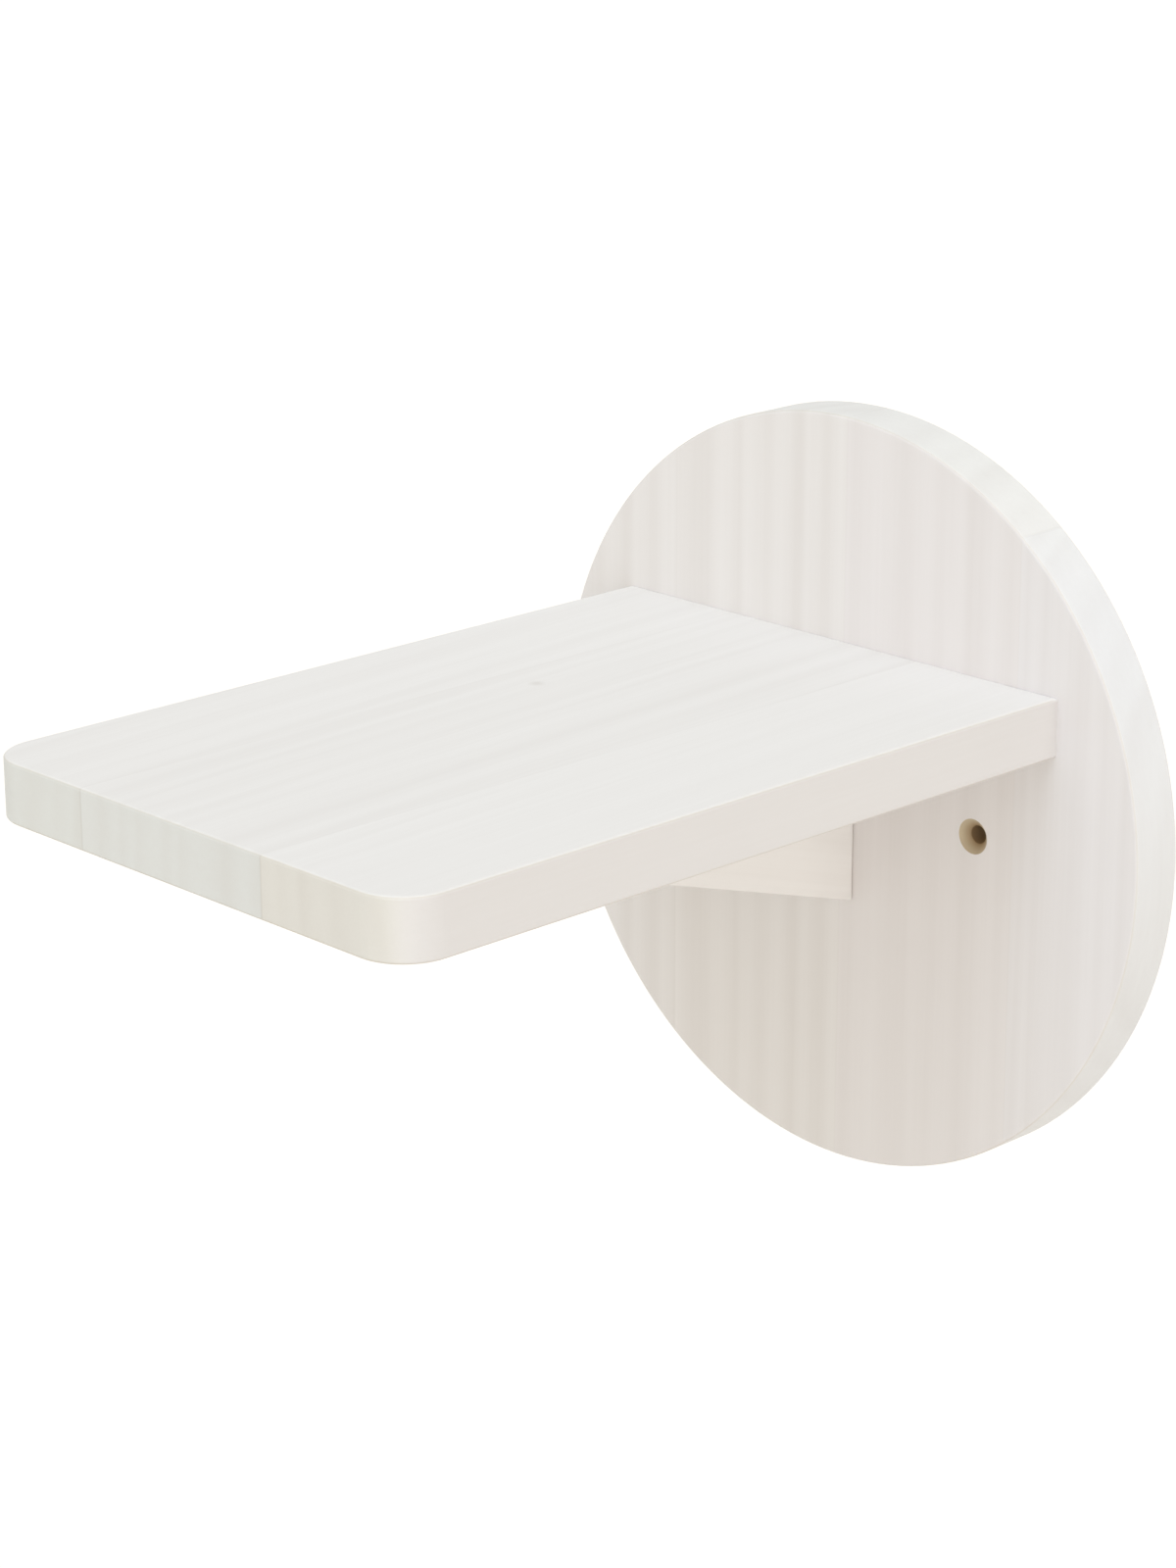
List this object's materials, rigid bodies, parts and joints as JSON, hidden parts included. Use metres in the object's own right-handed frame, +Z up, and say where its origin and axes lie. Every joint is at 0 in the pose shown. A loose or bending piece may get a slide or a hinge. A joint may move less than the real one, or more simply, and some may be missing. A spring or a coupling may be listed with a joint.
{
  "type": "cat wall shelf",
  "caption": "Cat wall shelf: a whitewashed pine step with round front corners, butted on a round wall plate over a gusset brace, with countersunk holes for wall screws.",
  "frame": {"origin": "centre of the round plate's back face, on the wall plane", "axes": "+Y into the wall, +Z up, +X to the right for someone who faces the wall; the step reaches out along -Y"},
  "size_m": [0.25, 0.284, 0.25],
  "materials": {
    "plate_pine": "whitewashed pine, vertical grain, matt",
    "shelf_pine": "whitewashed pine, grain along the step, matt",
    "brace_pine": "whitewashed pine, matt",
    "screw_steel": "bright zinc",
    "dowel_beech": "plain beech"
  },
  "bodies": {
    "root": {"plate_stave_left_outer": "plate_pine", "plate_stave_left_inner": "plate_pine", "plate_stave_right_inner": "plate_pine", "plate_stave_right_outer": "plate_pine", "shelf_stave_left": "shelf_pine", "shelf_stave_middle": "shelf_pine", "shelf_stave_right": "shelf_pine", "brace": "brace_pine", "shelf_screw_left": "screw_steel", "shelf_screw_right": "screw_steel", "brace_screw_upper": "screw_steel", "brace_screw_lower": "screw_steel", "shelf_dowel_left": "dowel_beech", "shelf_dowel_right": "dowel_beech", "brace_dowel_back": "dowel_beech", "brace_dowel_front": "dowel_beech"}
  },
  "joints": []
}
